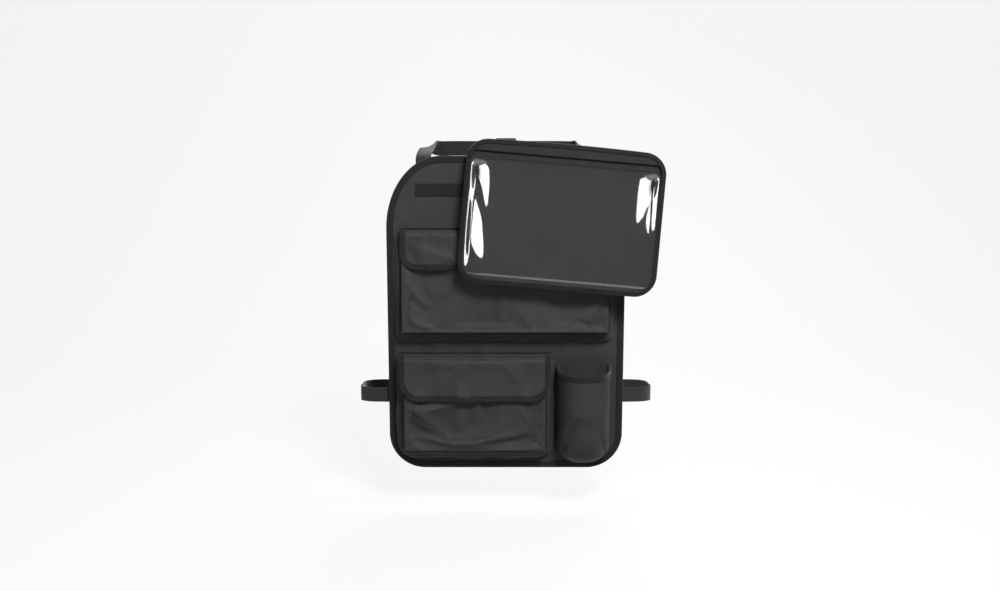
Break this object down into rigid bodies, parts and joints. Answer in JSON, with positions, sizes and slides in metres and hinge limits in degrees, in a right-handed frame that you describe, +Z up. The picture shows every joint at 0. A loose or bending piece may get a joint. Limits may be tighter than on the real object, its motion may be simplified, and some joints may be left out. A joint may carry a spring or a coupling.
{
  "type": "car seat back organizer",
  "caption": "Black cloth organizer for a car's seat back: two flap pockets, a bottle pocket and a hanging tablet case with a clear window, held by a headrest strap and a seat elastic.",
  "frame": {"origin": "middle of the back panel's back face, which lies against the seat back", "axes": "+Z up along the panel, +Y from the panel into the seat, +X to the right as the user in the rear seat sees it"},
  "size_m": [0.4887, 0.1865, 0.5357],
  "materials": {
    "polyester_cloth": "coated plain-weave polyester, matt black",
    "edge_binding": "folded woven edge tape, sewn",
    "loop_tape": "soft brushed loop tape",
    "hook_tape": "stiff hook tape",
    "webbing": "woven polypropylene webbing",
    "elastic": "ribbed woven elastic",
    "adjuster_plastic": "moulded acetal, fine matt",
    "clear_film": "clear soft vinyl film, glossy and slightly wavy"
  },
  "bodies": {
    "root": {"back_panel": "polyester_cloth", "panel_binding": "edge_binding", "panel_loop_tape": "loop_tape", "lower_pocket_front": "polyester_cloth", "lower_pocket_gusset": "polyester_cloth", "lower_pocket_mouth_binding": "edge_binding", "lower_pocket_flap": "polyester_cloth", "lower_flap_binding": "edge_binding", "lower_pocket_loop_tape": "loop_tape", "lower_flap_hook_tape": "hook_tape", "upper_pocket_front": "polyester_cloth", "upper_pocket_gusset": "polyester_cloth", "upper_pocket_mouth_binding": "edge_binding", "upper_pocket_flap": "polyester_cloth", "upper_flap_binding": "edge_binding", "upper_pocket_loop_tape": "loop_tape", "upper_flap_hook_tape": "hook_tape", "bottle_pocket": "polyester_cloth", "bottle_pocket_mouth_binding": "edge_binding", "case_back": "polyester_cloth", "case_binding": "edge_binding", "case_window": "clear_film", "case_mouth_hem": "polyester_cloth", "case_top_band": "polyester_cloth", "case_mouth_hook_tape": "hook_tape", "case_mouth_loop_tape": "loop_tape", "case_hanger_tab": "polyester_cloth", "case_hanger_hook_tape": "hook_tape", "left_headrest_strap": "webbing", "right_headrest_strap": "webbing", "headrest_strap_adjuster": "adjuster_plastic", "left_strap_anchor_patch": "polyester_cloth", "right_strap_anchor_patch": "polyester_cloth", "left_seat_elastic": "elastic", "right_seat_elastic": "elastic", "seat_elastic_adjuster": "adjuster_plastic", "left_elastic_anchor_patch": "polyester_cloth", "right_elastic_anchor_patch": "polyester_cloth"}
  },
  "joints": []
}
